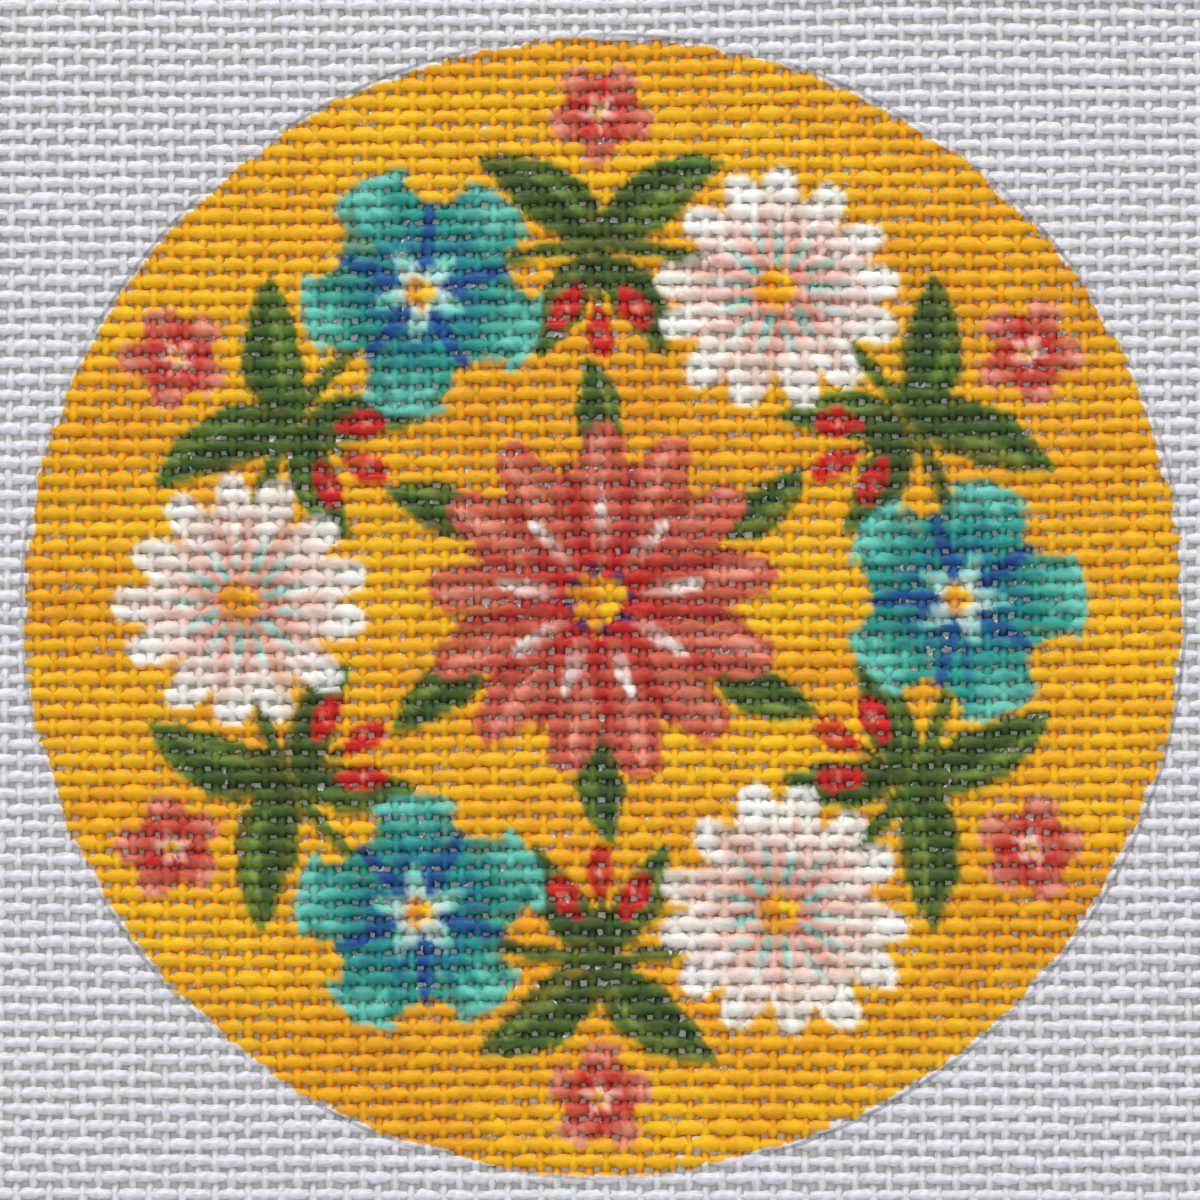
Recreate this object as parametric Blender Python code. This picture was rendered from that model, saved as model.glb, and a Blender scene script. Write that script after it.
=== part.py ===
"""A painted needlepoint canvas panel: a cut square of plain-woven mono canvas, lying flat.

Run with blender --background --python part.py, or from Blender's text editor.
Metres, +Z up. The origin is on the underside, at the middle of the panel. X runs along the wefts,
from selvedge to selvedge, and Y runs along the warps, to the top of the painted picture.
"""

import bmesh
import bpy

# The weave: threads are counted to the inch, and the panel is cut between two threads.
INCH = 0.0254
WARPS_PER_INCH = 18.0
WEFTS_PER_INCH = 17.7
WARPS = 108
WEFTS = 106

# A thread is pressed flat where it crosses another, so two of its heights make the cloth's thickness.
THREAD_HEIGHT = 0.0005
THREAD_LAYERS = 2

WARP_PITCH = INCH / WARPS_PER_INCH
WEFT_PITCH = INCH / WEFTS_PER_INCH
PANEL_WIDTH = WARPS * WARP_PITCH
PANEL_HEIGHT = WEFTS * WEFT_PITCH
CLOTH_THICKNESS = THREAD_LAYERS * THREAD_HEIGHT

# Bare canvas in the room's daylight: a cool white, and matt from its size.
CANVAS_COLOUR = (0.80, 0.80, 0.83, 1.0)
CANVAS_ROUGHNESS = 0.88


def clear_scene():
    """Remove whatever the file opened with."""
    for thing in list(bpy.data.objects):
        bpy.data.objects.remove(thing, do_unlink=True)


def canvas_material():
    """Sized white cotton, with no shine."""
    material = bpy.data.materials.new("canvas_cotton")
    material.use_nodes = True
    shader = material.node_tree.nodes["Principled BSDF"]
    shader.inputs["Base Color"].default_value = CANVAS_COLOUR
    shader.inputs["Roughness"].default_value = CANVAS_ROUGHNESS
    shader.inputs["Metallic"].default_value = 0.0
    return material


def cut_outline(shape):
    """The underside as one face, its corners taken anticlockwise as seen from above."""
    half_width = PANEL_WIDTH / 2
    half_height = PANEL_HEIGHT / 2
    corners = [
        (-half_width, -half_height),
        (half_width, -half_height),
        (half_width, half_height),
        (-half_width, half_height),
    ]
    return shape.faces.new([shape.verts.new((x, y, 0.0)) for x, y in corners])


def make_canvas():
    """The panel: its outline raised by the cloth's thickness. The weave's holes are under a millimetre."""
    shape = bmesh.new()
    underside = cut_outline(shape)
    raised = bmesh.ops.extrude_face_region(shape, geom=[underside], use_keep_orig=True)
    top = [part for part in raised["geom"] if isinstance(part, bmesh.types.BMVert)]
    bmesh.ops.translate(shape, verts=top, vec=(0.0, 0.0, CLOTH_THICKNESS))
    bmesh.ops.recalc_face_normals(shape, faces=shape.faces)
    mesh = bpy.data.meshes.new("canvas")
    shape.to_mesh(mesh)
    shape.free()
    mesh.materials.append(canvas_material())
    panel = bpy.data.objects.new("canvas", mesh)
    bpy.context.scene.collection.objects.link(panel)
    return panel


clear_scene()
make_canvas()
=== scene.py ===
"""Looks of a painted needlepoint canvas panel: real crossed threads, a painted round and a pencil line."""
import math

import bpy
import numpy as np
from mathutils import Matrix, Vector


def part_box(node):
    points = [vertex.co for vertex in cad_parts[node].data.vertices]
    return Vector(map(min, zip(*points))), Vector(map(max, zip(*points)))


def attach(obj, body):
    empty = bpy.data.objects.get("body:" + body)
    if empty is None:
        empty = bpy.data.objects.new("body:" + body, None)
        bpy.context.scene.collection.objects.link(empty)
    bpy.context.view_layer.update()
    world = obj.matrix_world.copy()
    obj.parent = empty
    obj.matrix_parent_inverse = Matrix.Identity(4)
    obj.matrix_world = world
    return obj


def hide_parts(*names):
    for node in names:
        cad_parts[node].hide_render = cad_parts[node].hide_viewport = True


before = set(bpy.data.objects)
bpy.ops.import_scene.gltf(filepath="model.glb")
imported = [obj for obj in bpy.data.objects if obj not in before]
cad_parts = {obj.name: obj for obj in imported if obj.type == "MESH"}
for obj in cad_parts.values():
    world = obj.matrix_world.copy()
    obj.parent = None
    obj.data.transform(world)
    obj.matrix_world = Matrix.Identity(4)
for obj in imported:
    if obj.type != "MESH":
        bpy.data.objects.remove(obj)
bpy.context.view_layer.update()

MM = 0.001

# The cloth, from the solid that it stands for. Its threads are counted, as on real canvas, and are made
# in a few bands each way.
CLOTH_LOW, CLOTH_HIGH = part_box("canvas")
PANEL_WIDTH = CLOTH_HIGH.x - CLOTH_LOW.x
PANEL_HEIGHT = CLOTH_HIGH.y - CLOTH_LOW.y
CLOTH_THICKNESS = CLOTH_HIGH.z - CLOTH_LOW.z
WARPS = 108
WEFTS = 106
WARP_PITCH = PANEL_WIDTH / WARPS
WEFT_PITCH = PANEL_HEIGHT / WEFTS
BANDS = 3

# A thread's rings of points: so many to each thread that it crosses, and so many points to a ring.
# A ring is a five-sided figure that stands on a flat side, so that sideways and down it reaches only
# these shares of a circle's reach.
RINGS_A_CROSSING = 4
RING_POINTS = 5
RING_START = math.radians(306)
RING_REACH_OUT = math.cos(math.radians(18))
RING_REACH_DOWN = math.sin(math.radians(54))

# The painted round, a little flatter than it is wide, and its pencil line, in millimetres.
ROUND_WIDE = 49.8
ROUND_HIGH = 49.0
PENCIL_OUTSIDE = 0.35
PENCIL_WIDTH = 0.34

# The view: the photograph is this wide on the canvas, and its lower and right sides are a little nearer.
VIEW_ACROSS = 103.2 * MM
VIEW_DISTANCE = 0.35
TILT_BACK = math.radians(4.3)
TILT_SIDE = math.radians(2.2)
SENSOR = 36.0


def paint(red, green, blue):
    """A paint as it looks to the eye, from 0 to 255, turned into light's own scale."""
    return np.array([((c / 255 + 0.055) / 1.055) ** 2.4 for c in (red, green, blue)])


GOLD = paint(248, 199, 0)
AMBER = paint(230, 160, 0)
WHITE = paint(240, 239, 233)
CORAL = paint(204, 100, 72)
BRICK = paint(172, 66, 48)
BLUSH = paint(232, 156, 130)
RED = paint(204, 22, 16)
PLUM = paint(62, 38, 104)
TURQUOISE = paint(36, 156, 142)
AQUA = paint(110, 200, 184)
BLUE = paint(20, 84, 150)
LEAF = paint(92, 124, 38)
MOSS = paint(62, 90, 28)
LIME = paint(136, 158, 66)


class Grain:
    """Smooth seeded noise, from -1 to 1, over a plane of any size."""

    SIDE = 256

    def __init__(self, seed):
        self.lattice = np.random.default_rng(seed).uniform(-1, 1, (self.SIDE, self.SIDE))

    def __call__(self, u, v):
        u, v = np.broadcast_arrays(np.asarray(u, float), np.asarray(v, float))
        left, low = np.floor(u), np.floor(v)
        across, up = u - left, v - low
        across, up = across * across * (3 - 2 * across), up * up * (3 - 2 * up)
        i, j = left.astype(int) % self.SIDE, low.astype(int) % self.SIDE
        ii, jj = (i + 1) % self.SIDE, (j + 1) % self.SIDE
        bottom = self.lattice[i, j] * (1 - across) + self.lattice[ii, j] * across
        top = self.lattice[i, jj] * (1 - across) + self.lattice[ii, jj] * across
        return bottom * (1 - up) + top * up


class Yarn:
    """The threads that run one way: their count and pitch, what they cross, and their own section.

    They run along X where along is 0 and along Y where it is 1, and step is the pitch of what they cross.
    They rise and sink by rise, in a wave that blunt, where it is under 1, makes flatter at its top. Where
    they lie on top they are wider by the share pinch, and below as much narrower. The first thread starts
    on top where over is 1 and below where it is -1, and the others take turns. Below the height shaded,
    over the cloth's middle, their colour is painted a little grey: a painted shade on their low stretches.
    """

    def __init__(
        self, name, along, count, crossed, pitch, step, width, height, rise, pinch, blunt, shaded, over, seed,
    ):
        self.name = name
        self.along = along
        self.count = count
        self.crossed = crossed
        self.pitch = pitch
        self.step = step
        self.width = width
        self.height = height
        self.rise = rise
        self.pinch = pinch
        self.blunt = blunt
        self.shaded = shaded
        self.over = over
        self.seed = seed


WEFT = Yarn(
    name="weft", along=0, count=WEFTS, crossed=WARPS, pitch=WEFT_PITCH, step=WARP_PITCH,
    width=0.93 * MM, height=0.60 * MM, rise=0.06 * MM, pinch=0.035, blunt=0.85, shaded=0.22 * MM,
    over=1, seed=11,
)
WARP = Yarn(
    name="warp", along=1, count=WARPS, crossed=WEFTS, pitch=WARP_PITCH, step=WEFT_PITCH,
    width=0.74 * MM, height=0.30 * MM, rise=0.14 * MM, pinch=0.17, blunt=1.0, shaded=0.28 * MM,
    over=-1, seed=12,
)

# The threads' middle layer, low enough for the wefts to touch the table.
MIDDLE = 0.38 * MM

# How much thicker the coat of paint makes a thread, and how steeply that sets in at the round's edge.
PAINT_SWELL = 0.22
SWELL_SLOPE = 40

# How uneven the canvas is: the cloth's own drift, each thread's wander, its slubs, which are less high
# than wide, its knobs, and how much more or less it rises from one crossing to the next. The factors that
# the functions below put on a thread's number and seed only set its noise apart from the others'.
DRIFT = 0.22 * MM
DRIFT_LENGTH = 26 * MM
WANDER = 0.08 * MM
WANDER_LENGTH = 5 * MM
SLUB = 0.17
SLUB_LENGTH = 1.9 * MM
SLUB_HEIGHT_SHARE = 0.4
KNOBS = 0.09
RISE_CHANGE = 0.16
drift_grain = Grain(1)
wander_grain = Grain(2)
slub_grain = Grain(3)


def thread_rings(yarn, first, last):
    """The ring points of threads first to last, as threads by rings by points by (x, y, z)."""
    number = np.arange(first, last)[:, None]
    ring = np.arange(yarn.crossed * RINGS_A_CROSSING + 1)[None, :]
    run = ring * yarn.step / RINGS_A_CROSSING
    place = (number + 0.5 - yarn.count / 2) * yarn.pitch
    s = run - yarn.crossed * yarn.step / 2
    drift = DRIFT * drift_grain(s / DRIFT_LENGTH + 40 * yarn.seed, place / DRIFT_LENGTH)
    wander = WANDER * wander_grain(run / WANDER_LENGTH, number * 3.7 + 50 * yarn.seed)
    side = place + drift + wander
    wave = np.cos(math.pi * (run / yarn.step - 0.5))
    turn = yarn.over * (1 - 2 * (number % 2))
    wave = turn * np.sign(wave) * np.abs(wave) ** yarn.blunt
    lift = yarn.rise * (1 + RISE_CHANGE * slub_grain(run / yarn.step, number * 5.3 + yarn.seed))
    height = MIDDLE + lift * wave
    slope = np.gradient(height, yarn.step / RINGS_A_CROSSING, axis=1)
    slub = 1 + SLUB * slub_grain(run / SLUB_LENGTH, number * 2.9 + 70 * yarn.seed)
    out_x, out_y = (s, side) if yarn.along == 0 else (side, s)
    rim = np.hypot(out_x / (ROUND_WIDE * MM), out_y / (ROUND_HIGH * MM))
    slub = slub * (1 + PAINT_SWELL * np.clip((1 - rim) * SWELL_SLOPE, 0, 1))
    pressed = 1 + yarn.pinch * wave
    half_width = yarn.width / 2 * slub * pressed
    half_height = yarn.height / 2 * (1 + (slub - 1) * SLUB_HEIGHT_SHARE) / (0.5 + 0.5 * pressed)
    angle = RING_START + np.arange(RING_POINTS) * 2 * math.pi / RING_POINTS
    out = np.cos(angle) / RING_REACH_OUT
    up = np.where(np.sin(angle) < 0, np.sin(angle) / RING_REACH_DOWN, np.sin(angle))
    knobs = np.random.default_rng(yarn.seed + first).normal(1, KNOBS, (*side.shape, RING_POINTS))
    out, up = out * knobs, up * knobs
    lean = np.arctan(slope)[..., None]
    points = np.empty((*side.shape, RING_POINTS, 3))
    rise = half_height[..., None] * up
    points[..., yarn.along] = (s + 0 * side)[..., None] - rise * np.sin(lean)
    points[..., 1 - yarn.along] = side[..., None] + half_width[..., None] * out
    points[..., 2] = np.clip(height[..., None] + rise * np.cos(lean), 0, CLOTH_THICKNESS)
    return points


# The texture's layout: where a thread's strip starts and ends along u and within its own row, and the
# small discs of its two cut ends.
STRIP_RUN = (0.012, 0.988)
STRIP_ROW = (0.08, 0.92)
END_PLACES = (0.005, 0.995)
END_RADIUS = 0.003


def joined_threads(name, yarn, points):
    """One mesh of closed threads, each laid out as its own strip of the texture."""
    threads, rings, around, _ = points.shape
    index = np.arange(threads * rings * around).reshape(threads, rings, around)
    order = np.arange(around + 1) % around
    low, high = index[:, :-1, order], index[:, 1:, order]
    walls = np.stack([low[..., :-1], low[..., 1:], high[..., 1:], high[..., :-1]], -1)
    u = np.linspace(*STRIP_RUN, rings)[None, :, None]
    v = (np.arange(threads)[:, None, None] + np.linspace(*STRIP_ROW, around + 1)) / threads
    u, v = np.broadcast_arrays(u, v)
    texture = np.stack([u, v], -1)
    left, right = texture[:, :-1], texture[:, 1:]
    wall_texture = np.stack(
        [left[..., :-1, :], left[..., 1:, :], right[..., 1:, :], right[..., :-1, :]], -2
    )
    spin = np.arange(around) * 2 * math.pi / around
    disc = END_RADIUS * np.stack([np.cos(spin), np.sin(spin)], -1)
    ends, end_texture = [], []
    for ring, where, back in ((0, END_PLACES[0], True), (rings - 1, END_PLACES[1], False)):
        middle = np.stack([np.full(threads, where), (np.arange(threads) + 0.5) / threads], -1)
        corners, flat = index[:, ring], middle[:, None] + disc
        ends.append(corners[:, ::-1] if back else corners)
        end_texture.append(flat[:, ::-1] if back else flat)
    walls, ends = walls.reshape(-1, 4), np.concatenate(ends)
    wall_texture, end_texture = wall_texture.reshape(-1, 4, 2), np.concatenate(end_texture)
    if yarn.along == 1:
        walls, wall_texture = walls[:, ::-1], wall_texture[:, ::-1]
        ends, end_texture = ends[:, ::-1], end_texture[:, ::-1]
    corners = np.concatenate([walls.ravel(), ends.ravel()])
    starts = np.concatenate(
        [np.arange(len(walls)) * 4, len(walls) * 4 + np.arange(len(ends)) * around]
    )
    mesh = bpy.data.meshes.new(name)
    mesh.vertices.add(index.size)
    mesh.vertices.foreach_set("co", points.reshape(-1).astype(np.float32))
    mesh.loops.add(len(corners))
    mesh.loops.foreach_set("vertex_index", corners.astype(np.int32))
    mesh.polygons.add(len(starts))
    mesh.polygons.foreach_set("loop_start", starts.astype(np.int32))
    layer = mesh.uv_layers.new(name="OFBake")
    layout = np.concatenate([wall_texture.reshape(-1, 2), end_texture.reshape(-1, 2)])
    layer.data.foreach_set("uv", layout.reshape(-1).astype(np.float32))
    mesh.update(calc_edges=True)
    mesh.shade_smooth()
    piece = bpy.data.objects.new(name, mesh)
    bpy.context.scene.collection.objects.link(piece)
    return piece


class Stroke:
    """One touch of a brush: a curved line with a width, a shape, and a paint at its start and at its end."""

    SHAPES = {
        "leaf": lambda t: np.sin(math.pi * t**0.8) ** 0.75,
        "petal": lambda t: 0.34 + 0.66 * np.sin(math.pi * (0.08 + t * 0.68)) ** 1.2,
        "brush": lambda t: 0.55 + 0.45 * np.sin(math.pi * (0.15 + t * 0.85)),
        "stem": lambda t: 1.0 - 0.35 * t,
    }

    def __init__(self, points, width, shape, first, last, cover, streak, seed):
        self.points = np.array(points, float)
        self.width = width
        self.profile = self.SHAPES[shape]
        self.first = first
        self.last = first if last is None else last
        self.cover = cover
        self.streak = streak
        self.seed = seed

    def line(self, t):
        """Points along the curve, in millimetres from the round's middle."""
        t = np.asarray(t)[:, None]
        start, bend, end = self.points
        return (1 - t) ** 2 * start + 2 * t * (1 - t) * bend + t * t * end


# How softly a stroke's edge ends, in millimetres, how uneven that edge is, how much its bristles change
# its cover and its mix, and how many points stand for its line.
EDGE_SOFTNESS = 0.22
EDGE_UNEVENNESS = 0.12
BRISTLE_CHANGE = 0.25
LINE_POINTS = 15

# Less than any length in the picture, so that nothing is divided by nought.
TINY = 1e-9
edge_grain = Grain(21)
bristle_grain = Grain(22)


def lay(stroke, x, y, colour, coat):
    """Paint one stroke over the points x, y, whose colour and coat it changes."""
    steps = np.linspace(0, 1, LINE_POINTS)
    line = stroke.line(steps)
    low, high = line.min(0) - stroke.width, line.max(0) + stroke.width
    near = np.flatnonzero((x > low[0]) & (x < high[0]) & (y > low[1]) & (y < high[1]))
    if not len(near):
        return
    at = np.stack([x[near], y[near]], -1)
    gap = at[:, None] - line
    nearest = (gap**2).sum(-1).argmin(1)
    way = np.gradient(line, axis=0)
    way /= np.maximum(np.linalg.norm(way, axis=1, keepdims=True), TINY)
    length = np.linalg.norm(np.diff(line, axis=0), axis=1).sum()
    offset = gap[np.arange(len(near)), nearest]
    ahead = (offset * way[nearest]).sum(-1)
    across = offset[:, 1] * way[nearest, 0] - offset[:, 0] * way[nearest, 1]
    t = steps[nearest] + ahead / max(length, TINY)
    past = length * np.maximum(np.maximum(-t, t - 1), 0)
    rough = 1 + EDGE_UNEVENNESS * edge_grain(at[:, 0] * 0.8 + stroke.seed, at[:, 1] * 0.8)
    inside = stroke.width / 2 * stroke.profile(np.clip(t, 0, 1)) * rough - np.hypot(across, past)
    bristle = bristle_grain(across * 1.9 + stroke.seed * 7.1, t * length * 0.22 + stroke.seed)
    share = np.clip(inside / EDGE_SOFTNESS + 0.5, 0, 1)
    share = share * np.clip(stroke.cover * (1 + BRISTLE_CHANGE * bristle), 0, 1)
    mixed = np.clip(t + BRISTLE_CHANGE * bristle, 0, 1)[:, None]
    tone = stroke.first + (stroke.last - stroke.first) * mixed
    tone = tone * (1 + stroke.streak * bristle[:, None])
    colour[near] += (tone - colour[near]) * share[:, None]
    coat[near] = np.maximum(coat[near], share)


def turned(x, y, reach, angle):
    """The point that lies reach from x, y in the direction angle, in degrees from +X."""
    return x + reach * math.cos(math.radians(angle)), y + reach * math.sin(math.radians(angle))


# How much more a bent stroke bulges for each square degree of its length, and the turn from one of five
# petals to the next.
ARC_BULGE = 0.000035
FIFTH = 360 / 5

# In millimetres: the widths of a stalk and of a leaf's vein, and a dab's reach to each side.
STALK = 0.8
VEIN = 0.9
DAB = 0.2


class Painter:
    """Lays the strokes of the picture in order, with a steady hand but no two touches alike.

    The size of a flower is its radius, and the numbers that multiply it are shares of it.
    """

    def __init__(self, seed):
        self.chance = np.random.default_rng(seed)
        self.strokes = []

    def around(self, low, high):
        """A number by chance between low and high."""
        return self.chance.uniform(low, high)

    def touch(self, points, width, shape, first, last=None, cover=1.0, streak=0.13):
        """Add a stroke, with bristle marks of its own."""
        self.strokes.append(Stroke(points, width, shape, first, last, cover, streak, self.around(0, 90)))

    def arc(self, x, y, reach, start, end, width, first, last, swell):
        """A stroke that bends round x, y, and bulges out by swell and by more the longer it is."""
        middle = (start + end) / 2
        bulge = reach * (swell + ARC_BULGE * (end - start) ** 2)
        points = (turned(x, y, reach, start), turned(x, y, bulge, middle), turned(x, y, reach, end))
        self.touch(points, width, "brush", first, last)

    def ray(self, x, y, near, far, angle, width, first, last, sway=0.0, shape="brush"):
        """A stroke from near to far, away from x, y."""
        points = (
            turned(x, y, near, angle), turned(x, y, (near + far) / 2, angle + sway),
            turned(x, y, far, angle + sway * 0.4),
        )
        self.touch(points, width, shape, first, last)

    def disc(self, x, y, size, first, last=None):
        """A round dab."""
        self.touch(((x - DAB, y), (x, y), (x + DAB, y)), size, "brush", first, last)

    def five_petals(self, x, y, size, turn, deep, body, light):
        """A plain flower of five round petals with a pale throat and a gold eye."""
        self.disc(x, y, size * 1.1, deep)
        for petal in (0, 2, 4, 1, 3):
            angle = turn + petal * FIFTH + self.around(-3, 3)
            reach = size * self.around(0.94, 1.03)
            self.ray(x, y, 0.1 * size, reach - size * 0.34, angle, size * 0.80, body, body, 0, "petal")
            self.ray(x, y, 0.50 * size, reach - size * 0.16, angle, size * 0.40, body, light, 4)
            for side in (-15, 0, 15):
                far = size * self.around(0.58, 0.74)
                self.ray(x, y, 0.2 * size, far, angle + side, size * 0.10, deep, body)
            self.arc(x, y, reach * 0.90, angle - 19, angle + 19, size * 0.11, light, light, 1.0)
        for petal in range(5):
            fold = turn + petal * FIFTH + FIFTH / 2 + self.around(-3, 3)
            self.ray(x, y, 0.16 * size, 0.66 * size, fold, size * 0.13, deep, deep)
        for petal in range(5):
            self.ray(x, y, 0.0, 0.34 * size, turn + petal * FIFTH, size * 0.16, WHITE, light)
        self.disc(x, y, size * 0.30, AMBER, GOLD)

    def full_flower(self, x, y, size, turn):
        """A full flower: two rings of narrow petals, each with a pale rib, round a dotted eye."""
        self.disc(x, y, size * 1.5, BRICK)
        for petals, reach, width, base, body, tip in (
            (13, 1.0, 0.33, BRICK, CORAL, BLUSH), (9, 0.60, 0.27, RED, CORAL, WHITE),
        ):
            for petal in [*range(0, petals, 2), *range(1, petals, 2)]:
                angle = turn + petal * 360 / petals + self.around(-2, 2)
                far = size * reach * self.around(0.95, 1.02)
                end = far - size * width * 0.3
                self.ray(x, y, 0.12 * size, end, angle, size * width, base, body, 0, "petal")
                self.ray(x, y, far * 0.42, far * 0.94, angle + 2, size * width * 0.34, body, tip)
            for petal in range(petals):
                fold = turn + (petal + 0.5) * 360 / petals + self.around(-1.5, 1.5)
                self.ray(x, y, size * reach * 0.36, size * reach * 0.80, fold, size * 0.085, RED, BRICK)
        self.disc(x, y, size * 0.46, AMBER, GOLD)
        for dot in range(8):
            self.disc(*turned(x, y, 0.17 * size, turn + dot * 45), size * 0.07, PLUM)

    def daisy(self, x, y, size, turn, petals):
        """A white daisy with a gold eye, its petals a little pink and blue-green at their feet."""
        width = size * 4.6 / petals
        for petal in [*range(0, petals, 2), *range(1, petals, 2)]:
            angle = turn + petal * 360 / petals + self.around(-3, 3)
            far = size * self.around(0.93, 1.03)
            sway = self.around(-3, 3)
            self.ray(x, y, 0.15 * size, far - width * 0.3, angle, width, BLUSH, WHITE, sway, "petal")
            self.ray(x, y, 0.22 * size, far * 0.62, angle, width * 0.22, AQUA, WHITE)
        self.disc(x, y, size * 0.44, AMBER, GOLD)
        self.disc(x + size * 0.06, y - size * 0.06, size * 0.16, AMBER)

    def leaf(self, x, y, length, angle, curl, broad):
        """A pointed leaf that grows from x, y: a broad touch, a darker side, a paler side and a dark vein."""
        end = turned(x, y, length, angle + curl)
        bend = turned(x, y, length * 0.5, angle - curl)
        width = length * broad
        self.touch(((x, y), bend, end), width, "leaf", MOSS, LEAF, 1.0, 0.22)
        across = np.array(turned(0, 0, width * 0.21, angle + 90))
        foot = np.array(turned(x, y, length * 0.10, angle))
        tip = np.array(turned(x, y, length * 0.88, angle + curl * 0.9))
        self.touch((foot, bend + across * 1.5, tip), width * 0.42, "leaf", MOSS, MOSS, 0.9, 0.2)
        self.touch((foot, bend - across * 1.3, tip), width * 0.24, "leaf", LEAF, LIME, 0.85, 0.2)
        self.touch((foot, np.array(bend), tip), VEIN, "stem", MOSS, MOSS, 0.8)

    def berry(self, x, y, size, angle):
        """A red berry with a paler cheek."""
        middle = turned(x, y, size * 0.7, angle)
        self.touch(((x, y), middle, turned(x, y, size * 1.2, angle)), size, "petal", RED, RED, 1.0, 0.18)
        self.touch((middle, middle, turned(*middle, size * 0.2, angle + 60)), size * 0.28, "brush", BLUSH)

    def berries(self, x, y, size, angle):
        """Three berries on short stalks that fan out from x, y."""
        for side, reach in ((-34, 0.9), (34, 0.9), (0, 1.2)):
            foot = turned(x, y, size * reach, angle + side)
            bend = turned(x, y, size * reach * 0.5, angle + side * 0.6)
            self.touch(((x, y), bend, foot), STALK, "stem", MOSS)
            self.berry(*foot, size * 0.62, angle + side)


# The garland has so many places for a large flower, so many degrees apart, and a spray of leaves and
# berries in each gap between them.
PLACES = 6
BETWEEN = 360 / PLACES

# In millimetres: the garland's ring and its stem's width, how far the sprays and the large flowers lie
# off that ring, and the ring of the small flowers.
GARLAND = 30.5
STEM = 1.3
SPRAY_OFF = 0.6
FLOWER_OFF = 0.5
SMALL_RING = 42.6

# In millimetres: the flowers' radii, a cluster of berries' size, how far out each inner leaf starts, and
# its length.
FULL_FLOWER = 15.2
BLUE_FLOWER = 11.2
DAISY = 10.8
SMALL_FLOWER = 4.8
BERRIES = 4.0
INNER_LEAF_FOOT = 11.5
INNER_LEAF = 9.6

DAISY_PETALS = 13

# Each leaf of a spray: how far it leans from straight out, in degrees, and its length in millimetres.
SPRAY = ((-46, 13.0), (46, 13.0), (138, 10.5), (-138, 10.5))


def picture():
    """The painted picture, back to front: an even garland of common flowers round a full one."""
    painter = Painter(7)
    gaps = [BETWEEN * (place + 0.5) for place in range(PLACES)]
    for gap in gaps:
        painter.arc(0, 0, GARLAND, gap - BETWEEN / 2, gap + BETWEEN / 2, STEM, MOSS, LEAF, 1.03)
        painter.leaf(*turned(0, 0, INNER_LEAF_FOOT, gap), INNER_LEAF, gap, 6, 0.42)
        for lean, length in SPRAY:
            way = gap + lean + painter.around(-4, 4)
            foot = turned(0, 0, GARLAND + math.copysign(SPRAY_OFF, 90 - abs(lean)), gap)
            painter.leaf(*foot, length, way, math.copysign(8, lean), 0.40)
        painter.berries(*turned(0, 0, GARLAND - SPRAY_OFF, gap), BERRIES, gap + 180)
    for place, gap in enumerate(gaps):
        way = gap + BETWEEN / 2
        flower = turned(0, 0, GARLAND + FLOWER_OFF, way)
        if place % 2 == 1:
            painter.five_petals(*flower, BLUE_FLOWER, way, BLUE, TURQUOISE, AQUA)
        else:
            painter.daisy(*flower, DAISY, way, DAISY_PETALS)
        small = turned(0, 0, SMALL_RING, gap)
        painter.five_petals(*small, SMALL_FLOWER, gap + FIFTH / 2, RED, CORAL, BLUSH)
    painter.full_flower(0, 0, FULL_FLOWER, 8)
    return painter.strokes


ground_grain = Grain(31)
thin_grain = Grain(32)
row_grain = Grain(33)
tone_grain = Grain(34)
PICTURE = picture()


# How ragged the round's edge is, how much a float's tone differs from the next one's, and how far a
# thread pulls the picture out of line, in millimetres.
RAGGED = 0.006
FLOAT_CHANGE = 0.09
PULL = 0.30

# The brush starts to miss a thread below this height over the cloth's middle, and fully so by this depth.
MISSED_BELOW = 0.16 * MM
MISSED_DEPTH = 0.10 * MM


def ground(x, y):
    """The gold ground's colour, in broad level sweeps of a brush."""
    broad = 0.5 + 0.5 * ground_grain(x * 0.05 + 3, y * 0.16 + 9)
    fine = 0.5 + 0.5 * ground_grain(x * 0.35, y * 0.9 + 40)
    share = np.clip(0.62 * broad + 0.38 * fine, 0, 1)[:, None]
    return AMBER + (GOLD - AMBER) * share


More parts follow.
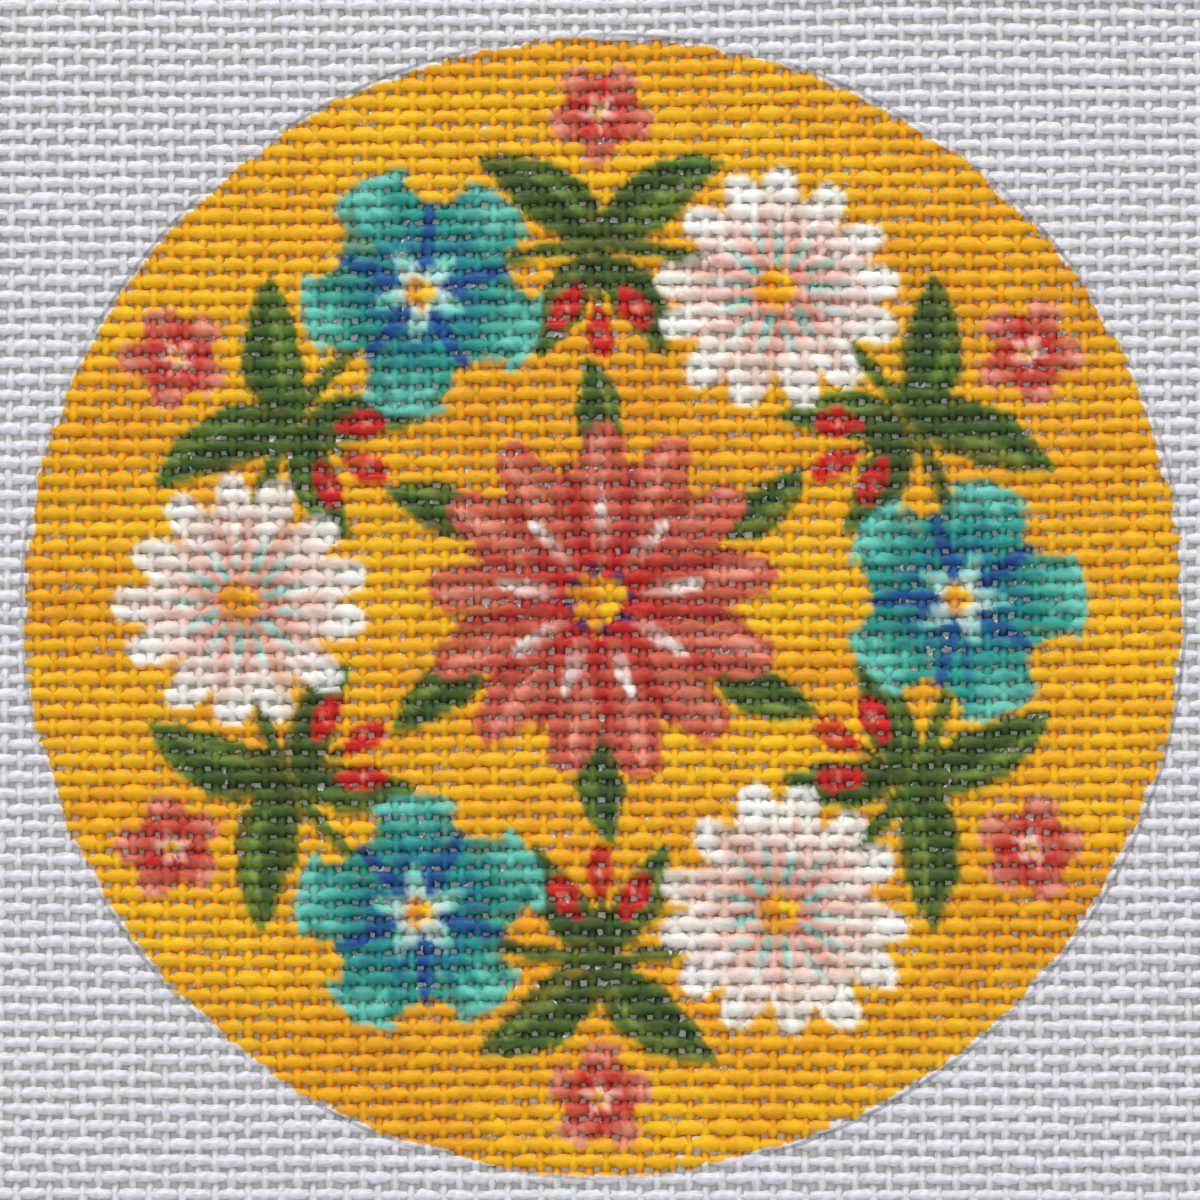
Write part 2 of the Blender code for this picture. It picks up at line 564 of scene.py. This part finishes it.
def painted(points, yarn, first):
    """The paint's colour and coat at each ring point: on the upper side of the threads, and thin below."""
    threads, rings, around, _ = points.shape
    x, y = points[..., 0].ravel() / MM, points[..., 1].ravel() / MM
    middle_height = points[..., 2].mean(-1, keepdims=True)
    upward = ((points[..., 2] - middle_height) / (yarn.height / 2)).ravel()
    number = np.repeat(np.arange(first, first + threads), rings * around)
    run = points[..., yarn.along].ravel() / MM
    crossing = run / (yarn.step / MM)
    pull = PULL * row_grain(number * 7.7 + yarn.seed, run * 0.5)
    px, py = (x + pull, y) if yarn.along == 0 else (x, y + pull)

    # The round and the picture on it, which stays inside the round's ragged edge.
    rim = np.hypot(px / ROUND_WIDE, py / ROUND_HIGH)
    ragged = RAGGED * ground_grain(px * 0.55, py * 0.55)
    inside = np.clip((1 - rim + ragged) * ROUND_HIGH / EDGE_SOFTNESS + 0.5, 0, 1)
    colour, coat = ground(px, py), inside.copy()
    for stroke in PICTURE:
        lay(stroke, px, py, colour, coat)
    coat = np.minimum(coat, inside)
    float_tone = tone_grain(number * 6.1 + 20 * yarn.seed, np.floor(crossing + 0.5) * 3.3)
    colour = colour * (1 + FLOAT_CHANGE * float_tone[:, None])

    # Where the coat is thin, where the brush missed a low stretch, and how far it reaches down the sides.
    thin = thin_grain(px * 0.8 + 5, py * 0.8) + 0.6 * thin_grain(px * 2.3, py * 2.3 + 8)
    coat = coat * np.clip(1.12 - 0.30 * np.clip(thin, 0, 1), 0, 1)
    low = np.clip((MIDDLE + MISSED_BELOW - points[..., 2].ravel()) / MISSED_DEPTH, 0, 1)
    missed = np.clip(5 * thin_grain(number * 9.1 + 30 * yarn.seed, crossing) - 2.6, 0, 1)
    coat = coat * (1 - 0.9 * low * missed)
    reach = np.clip((upward + 0.95) / 0.55 + 0.25 * thin, 0.12, 1)
    return colour, coat * reach


class Value:
    """A number that changes over the surface. Sums on it add the nodes that work them out."""

    def __init__(self, finish, socket):
        self.finish = finish
        self.socket = socket

    def sum(self, operation, *terms):
        """Add the node that works out one operation."""
        return self.finish.node("ShaderNodeMath", {"operation": operation}, dict(enumerate(terms)))

    def __add__(self, other):
        return self.sum("ADD", self, other)

    __radd__ = __add__

    def __sub__(self, other):
        return self.sum("SUBTRACT", self, other)

    def __rsub__(self, other):
        return self.sum("SUBTRACT", other, self)

    def __mul__(self, other):
        return self.sum("MULTIPLY", self, other)

    __rmul__ = __mul__

    def __abs__(self):
        return self.sum("ABSOLUTE", self)

    def wave(self):
        """The number's sine."""
        return self.sum("SINE", self)


class Finish:
    """A material and its nodes."""

    def __init__(self, name):
        self.material = bpy.data.materials.new(name)
        self.material.use_nodes = True
        self.tree = self.material.node_tree
        self.shader = self.tree.nodes["Principled BSDF"]

    def node(self, kind, settings=None, inputs=None, output=0):
        """Add a node: its settings first, then the values or links of its sockets."""
        node = self.tree.nodes.new(kind)
        for setting, value in (settings or {}).items():
            setattr(node, setting, value)
        for socket, value in (inputs or {}).items():
            self.feed(node.inputs[socket], value)
        return Value(self, node.outputs[output])

    def feed(self, socket, value):
        """Link a value that changes, or set one that is the same all over."""
        if isinstance(value, Value):
            self.tree.links.new(value.socket, socket)
        else:
            socket.default_value = value

    def set(self, **sockets):
        """Feed the shader's own sockets, named with _ for a space."""
        for name, value in sockets.items():
            self.feed(self.shader.inputs[name.replace("_", " ")], value)

    def noise(self, place, scale, detail=2.0, roughness=0.5):
        """Even noise, from 0 to 1."""
        sockets = {"Vector": place, "Scale": scale, "Detail": detail, "Roughness": roughness}
        return self.node("ShaderNodeTexNoise", None, sockets)

    def stretched(self, place, way):
        """A place scaled by a different amount each way, so that noise on it draws out."""
        return self.node("ShaderNodeVectorMath", {"operation": "MULTIPLY"}, {0: place, 1: way})

    def ease(self, value, low, high, to_low=0.0, to_high=1.0):
        """A soft step from to_low, where value is low, to to_high, where it is high."""
        return self.node(
            "ShaderNodeMapRange", {"interpolation_type": "SMOOTHSTEP"},
            {0: value, 1: low, 2: high, 3: to_low, 4: to_high},
        )

    def mixed(self, share, first, second, blend="MIX"):
        """Two colours mixed by a share. The node's sockets 6 and 7 and its output 2 are those for colours."""
        return self.node(
            "ShaderNodeMix", {"data_type": "RGBA", "blend_type": blend}, {0: share, 6: first, 7: second}, 2
        )


# Which output of a node gives a vector, a number, the place on the object, or a length.
AS_VECTOR = 1
AS_NUMBER = 2
OBJECT_PLACE = 3
AS_LENGTH = 1

# Bare thread and its darker fibres, the pencil's lead, and the grey painted shade of the threads' low
# stretches.
COTTON = (*paint(233, 233, 239), 1)
COTTON_SHADE = (*paint(206, 205, 208), 1)
GRAPHITE = (*paint(92, 92, 96), 1)
HOLLOW_SHADE = (*paint(228, 226, 220), 1)

# How the fibres' and the bristles' noise draws out along a thread, round it and from thread to thread.
FIBRE_STRETCH = (0.9, 5.0, 3.1)
BRISTLE_STRETCH = (0.5, 1.6, 0.7)

# How fine the noise over the whole cloth is, to a metre: flecks, clouds of paint and the pencil's pressure.
FLECKS = 2600.0
CLOUDS = 90.0
PRESSURE = 60.0

# How deep the brush's streaks are and how deep the paint is darkened low on the threads, as pooled paint and
# painted shade, how rough bare thread is and how much smoother paint makes it, and how strongly the fibres
# stand out and how high, in metres.
STREAKED = 0.46
POOLED_AND_SHADE = 0.80
BARE_ROUGHNESS = 0.92
PAINT_SMOOTHS = 0.40
FIBRE_STRENGTH = 0.85
FIBRE_HEIGHT = 0.0001


def canvas_finish():
    """Sized cotton thread, fibrous and matt, under uneven acrylic paint with a soft shine."""
    finish = Finish("painted_canvas")
    coat = finish.node("ShaderNodeAttribute", {"attribute_name": "coat"}, None, AS_NUMBER)
    crown_shade = finish.node("ShaderNodeAttribute", {"attribute_name": "crown_shade"}, None, AS_NUMBER)
    colour = finish.node("ShaderNodeAttribute", {"attribute_name": "paint"})
    thread = finish.node("ShaderNodeAttribute", {"attribute_name": "thread"}, None, AS_VECTOR)
    place = finish.node("ShaderNodeTexCoord", None, None, OBJECT_PLACE)
    fibre = finish.noise(finish.stretched(thread, FIBRE_STRETCH), 1.0, 3.0, 0.6)
    run = finish.node("ShaderNodeSeparateXYZ", None, {0: thread}, 0)
    around = finish.node("ShaderNodeSeparateXYZ", None, {0: thread}, 1)
    ply = (run * 5.4 + around * 3.2 + fibre * 3.0).wave()
    fleck = finish.noise(place, FLECKS, 2.0, 0.6)
    cloud = finish.noise(place, CLOUDS)
    cotton = finish.mixed(
        finish.ease(fibre * 0.7 + fleck * 0.3 + ply * 0.05, 0.28, 0.62), COTTON_SHADE, COTTON,
    )
    bristle = finish.noise(finish.stretched(thread, BRISTLE_STRETCH), 1.0)
    streaks = finish.ease(bristle * 0.5 + cloud * 0.3 + fleck * 0.2, 0.34, 0.64, STREAKED, 0.0)
    # Paint is multiplied deeper and darker low on the threads: painted shade, and in part paint pooled
    # thicker there.
    pooled_and_shade = finish.ease(crown_shade, 0.0, 0.9, POOLED_AND_SHADE, 0.0)
    shaded = finish.mixed(streaks, finish.mixed(pooled_and_shade, colour, colour, "MULTIPLY"), colour, "MULTIPLY")
    cover = finish.ease(coat + (fibre - 0.5) * 0.7 + (fleck - 0.5) * 0.35, 0.30, 0.62)
    dressed = finish.mixed(cover, cotton, shaded)
    flat = finish.stretched(place, (1 / (ROUND_WIDE * MM), 1 / (ROUND_HIGH * MM), 0.0))
    rim = finish.node("ShaderNodeVectorMath", {"operation": "LENGTH"}, {0: flat}, AS_LENGTH)
    off = abs(rim - (1 + PENCIL_OUTSIDE / ROUND_WIDE))
    line = finish.ease(off, 0.3 * PENCIL_WIDTH / ROUND_WIDE, 0.7 * PENCIL_WIDTH / ROUND_WIDE, 1.0, 0.0)
    smudge = finish.noise(place, PRESSURE, 1.0)
    pressure = finish.ease(smudge + (fleck - 0.5) * 0.4, 0.35, 0.62, 0.04, 0.52)
    drawn = finish.mixed(line * pressure * (1 - cover * 0.8), dressed, GRAPHITE)
    # Colour is darkened towards a grey low on every thread: painted shade on the threads' low stretches.
    with_painted_shade = finish.mixed(finish.ease(crown_shade, 0.0, 1.0, 1.0, 0.0), drawn, HOLLOW_SHADE, "MULTIPLY")
    bump_height = fibre * (1 - cover * 0.25) + fleck * 0.6 + ply * 0.32
    bump = finish.node(
        "ShaderNodeBump", None, {"Strength": FIBRE_STRENGTH, "Distance": FIBRE_HEIGHT, "Height": bump_height}
    )
    finish.set(
        Base_Color=with_painted_shade, Normal=bump, Specular_IOR_Level=0.30,
        Roughness=BARE_ROUGHNESS - cover * PAINT_SMOOTHS + (fleck - 0.5) * 0.15,
    )
    return finish.material


# How far down from its shaded height a thread's painted shade goes from none to its full grey, and its way
# round, as a multiple of its width and height together.
CROWN_DEPTH = 0.24 * MM
ROUND_A_THREAD = 1.6


def dress(piece, yarn, points, first):
    """Give a band its paint, and the run of its threads for the fibres to follow."""
    colour, coat = painted(points, yarn, first)
    mesh = piece.data
    layer = mesh.color_attributes.new("paint", "FLOAT_COLOR", "POINT")
    rgba = np.concatenate([np.clip(colour, 0, 1), np.ones((len(colour), 1))], 1)
    layer.data.foreach_set("color", rgba.astype(np.float32).ravel())
    mesh.attributes.new("coat", "FLOAT", "POINT").data.foreach_set("value", coat.astype(np.float32))
    # Where a thread lies low its colour is darkened later: this share marks that painted shade, 1 high up, 0
    # low down.
    crown_shade = np.clip((points[..., 2] - MIDDLE - yarn.shaded) / CROWN_DEPTH + 1, 0, 1).ravel()
    mesh.attributes.new("crown_shade", "FLOAT", "POINT").data.foreach_set("value", crown_shade.astype(np.float32))
    threads, rings, around, _ = points.shape
    number = np.arange(first, first + threads)[:, None, None] + np.zeros((1, rings, around))
    run = points[..., yarn.along] / MM
    side = np.arange(around) / around * (yarn.width + yarn.height) * ROUND_A_THREAD / MM + 0 * run
    thread = np.stack([run, side, number * 3.7 + yarn.seed], -1).astype(np.float32)
    mesh.attributes.new("thread", "FLOAT_VECTOR", "POINT").data.foreach_set("vector", thread.ravel())


# The table: its side, how far under the cloth its top lies, in metres, and its colour.
TABLE_SIDE = 4.0
TABLE_GAP = 0.00003
TABLE_COLOUR = (*paint(250, 248, 240), 1)


def make_floor():
    """A plain pale table top, well past the view's edge."""
    bpy.ops.mesh.primitive_plane_add(size=TABLE_SIDE, location=(0, 0, CLOTH_LOW.z - TABLE_GAP))
    floor = bpy.context.object
    floor.name = "table_top"
    finish = Finish("table_top")
    finish.set(Base_Color=TABLE_COLOUR, Roughness=0.8)
    floor.data.materials.append(finish.material)
    return floor


# The light's colours, as shares of red, green and blue, and how bright the room is.
DAYLIGHT = (1.0, 0.995, 0.985)
ROOM_LIGHT = (0.95, 0.97, 1.0)
ROOM_STRENGTH = 0.78


def make_lamp(name, place, size, power, colour):
    """A soft square light that looks at the canvas."""
    light = bpy.data.lights.new(name, "AREA")
    light.size = size
    light.energy = power
    light.color = colour
    lamp = bpy.data.objects.new(name, light)
    lamp.location = place
    lamp.rotation_euler = (-Vector(place)).to_track_quat("-Z", "Y").to_euler()
    bpy.context.scene.collection.objects.link(lamp)


def light_studio():
    """Daylight from the picture's top, as on the threads of the photograph, and a soft room."""
    make_lamp("window", place=(-0.10, 1.10, 0.43), size=0.40, power=7.8, colour=DAYLIGHT)
    make_lamp("room", place=(0.3, 0.3, 1.3), size=1.2, power=2.0, colour=ROOM_LIGHT)
    world = bpy.data.worlds.new("room_light")
    world.use_nodes = True
    background = world.node_tree.nodes["Background"]
    background.inputs["Color"].default_value = (*ROOM_LIGHT, 1)
    background.inputs["Strength"].default_value = ROOM_STRENGTH
    scene = bpy.context.scene
    scene.world = world
    scene.view_settings.view_transform = "Standard"


def place_camera():
    """Above the round's middle, leaning to the side that the photograph shows nearer."""
    camera = bpy.data.cameras.new("camera")
    camera.sensor_width = SENSOR
    camera.lens = SENSOR * VIEW_DISTANCE / VIEW_ACROSS
    camera.clip_start = 0.01
    eye = bpy.data.objects.new("camera", camera)
    back = Vector((math.sin(TILT_SIDE), -math.sin(TILT_BACK), 1.0)).normalized()
    right = Vector((0, 1, 0)).cross(back).normalized()
    upright = Matrix((right, back.cross(right), back)).transposed()
    target = Vector((0, 0, CLOTH_THICKNESS))
    eye.location = target + back * VIEW_DISTANCE
    eye.rotation_euler = upright.to_euler()
    bpy.context.scene.collection.objects.link(eye)
    bpy.context.scene.camera = eye


def weave(yarn, finish):
    """The threads of one direction, in bands of whole threads."""
    for band in range(BANDS):
        first, last = yarn.count * band // BANDS, yarn.count * (band + 1) // BANDS
        points = thread_rings(yarn, first, last)
        piece = joined_threads(f"{yarn.name}_threads_{band + 1}", yarn, points)
        dress(piece, yarn, points, first)
        piece.data.materials.append(finish)
        length = yarn.crossed * yarn.step
        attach(piece, "root")
        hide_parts("canvas")
        (last - first) * yarn.width * length


place_camera()
light_studio()
table_top = make_floor()
canvas_cotton = canvas_finish()
weave(WEFT, canvas_cotton)
weave(WARP, canvas_cotton)
